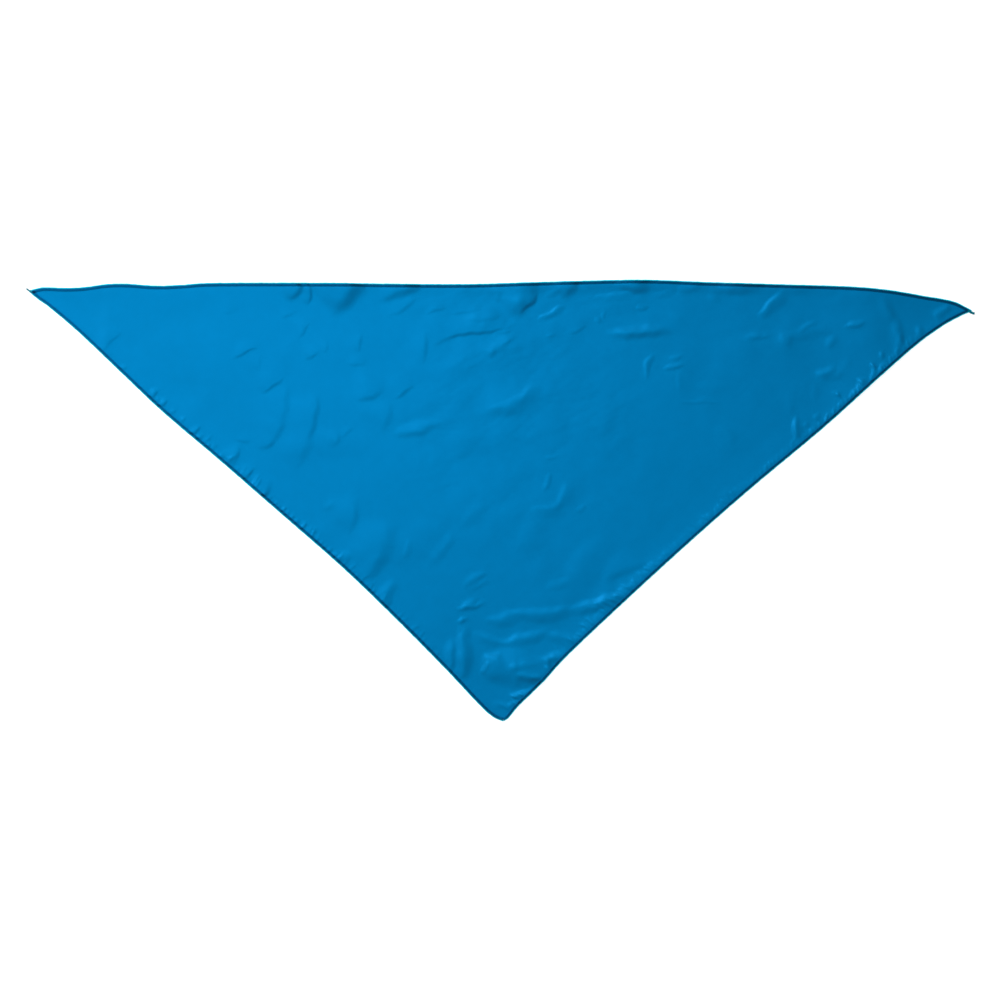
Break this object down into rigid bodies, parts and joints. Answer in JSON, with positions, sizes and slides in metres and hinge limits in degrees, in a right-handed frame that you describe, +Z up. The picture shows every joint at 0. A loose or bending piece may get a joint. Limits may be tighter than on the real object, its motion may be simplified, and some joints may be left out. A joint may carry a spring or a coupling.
{
  "type": "neckerchief",
  "caption": "Plain triangular satin neckerchief lying flat, a soft-folded cloth panel edged with narrow rolled hems.",
  "frame": {"origin": "centre of the lying kerchief's bounding box, on the surface it lies on", "axes": "+X along the long edge towards the right corner, -Y towards the tip, +Z up from the surface"},
  "size_m": [0.9992, 0.4672, 0.0062],
  "materials": {
    "satin_panel": "plain azure satin, fine weave, soft sheen",
    "stitched_hem": "rolled satin hem overstitched with dark blue thread"
  },
  "bodies": {
    "root": {"panel": "satin_panel", "hem_long_edge": "stitched_hem", "hem_left_leg": "stitched_hem", "hem_right_leg": "stitched_hem"}
  },
  "joints": []
}
